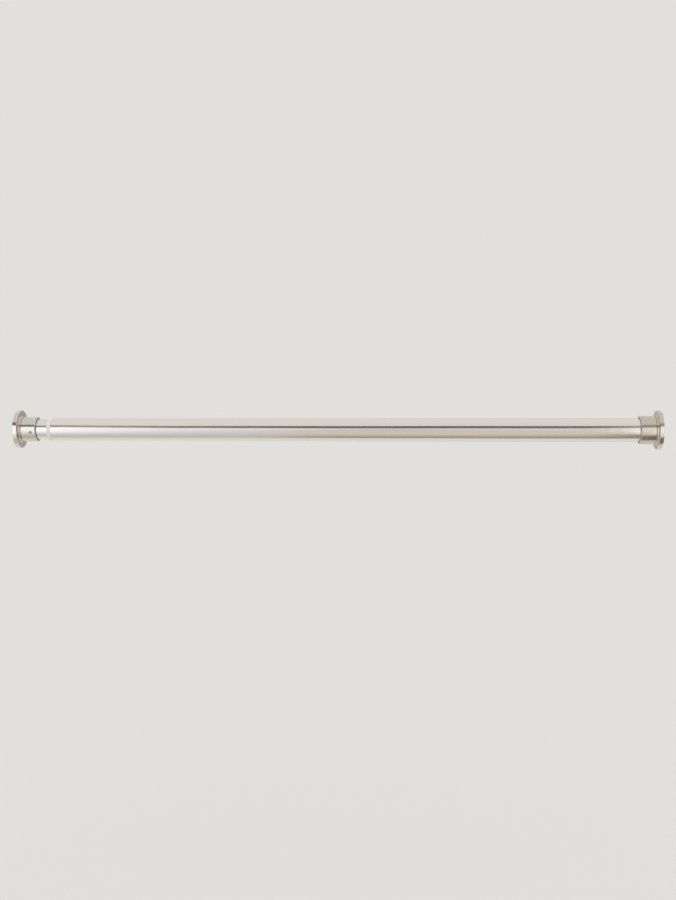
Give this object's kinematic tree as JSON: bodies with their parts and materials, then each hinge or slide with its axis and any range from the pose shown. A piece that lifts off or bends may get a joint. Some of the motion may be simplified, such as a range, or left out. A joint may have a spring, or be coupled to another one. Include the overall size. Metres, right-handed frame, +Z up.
{
  "type": "tension curtain rod",
  "caption": "Spring-tension curtain rod: two telescoping brushed steel tubes with a twist lock, round wall flanges with rubber pads, and a plastic glide ring.",
  "frame": {"origin": "centre of the outer end's wall face: the plane of the rubber pad's outer face on the rod's axis", "axes": "+X along the rod, outwards from the outer tube's wall face, so the rod runs to -X; +Z up; the view in the picture looks along +Y"},
  "size_m": [0.7112, 0.042, 0.042],
  "materials": {
    "satin_tube": "satin nickel plating over drawn steel tube, brushed along its length",
    "satin_cast": "satin nickel plating over die-cast zinc, fine turned grain",
    "pad_rubber": "soft pale grey non-marking rubber, matt",
    "screw_steel": "plain stainless steel, a shade darker than the collars",
    "glide_nylon": "moulded translucent-white nylon, matt",
    "natural_nylon": "moulded natural nylon, matt",
    "cam_nylon": "moulded white nylon, matt",
    "spring_wire": "drawn spring steel, lightly oiled",
    "turned_steel": "turned bright zinc-plated steel"
  },
  "bodies": {
    "outer_assembly": {"outer_tube": "satin_tube", "outer_end_cap": "satin_cast", "outer_wall_pad": "pad_rubber", "outer_set_screw": "screw_steel", "glide_bushing": "glide_nylon"},
    "drag_shoe": {"drag_shoe": "natural_nylon"},
    "lock_shaft": {"lock_shaft": "turned_steel", "thrust_washer": "turned_steel", "tip_clip": "spring_wire", "spring_plunger": "natural_nylon", "plunger_clip": "spring_wire", "tension_spring": "spring_wire"},
    "cam_ring": {"cam_ring": "cam_nylon"},
    "inner_assembly": {"inner_tube": "satin_tube", "inner_end_cap": "satin_cast", "inner_wall_pad": "pad_rubber", "inner_set_screw": "screw_steel", "tube_plug": "natural_nylon", "spring_seat": "natural_nylon"}
  },
  "joints": [
    {"name": "telescope", "type": "slide", "parent": "outer_assembly", "child": "drag_shoe", "axis": [-1, 0, 0], "range_m": [0, 0.508]},
    {"name": "twist", "type": "hinge", "parent": "drag_shoe", "child": "lock_shaft", "pos_m": [-0.03, 0, 0], "axis": [1, 0, 0], "range_deg": [-30, 30]},
    {"name": "cam_pivot", "type": "hinge", "parent": "lock_shaft", "child": "cam_ring", "pos_m": [-0.0336, 0, 0.001], "axis": [1, 0, 0], "range_deg": [-30, 30]},
    {"name": "spring_stroke", "type": "slide", "parent": "lock_shaft", "child": "inner_assembly", "axis": [1, 0, 0], "range_m": [0, 0.011], "stiffness_N_per_m": 2570, "springref_m": -0.027, "deforming": ["tension_spring"]}
  ],
  "couplings": [
    {"joint": "cam_pivot", "follows": "twist", "ratio": -1}
  ]
}
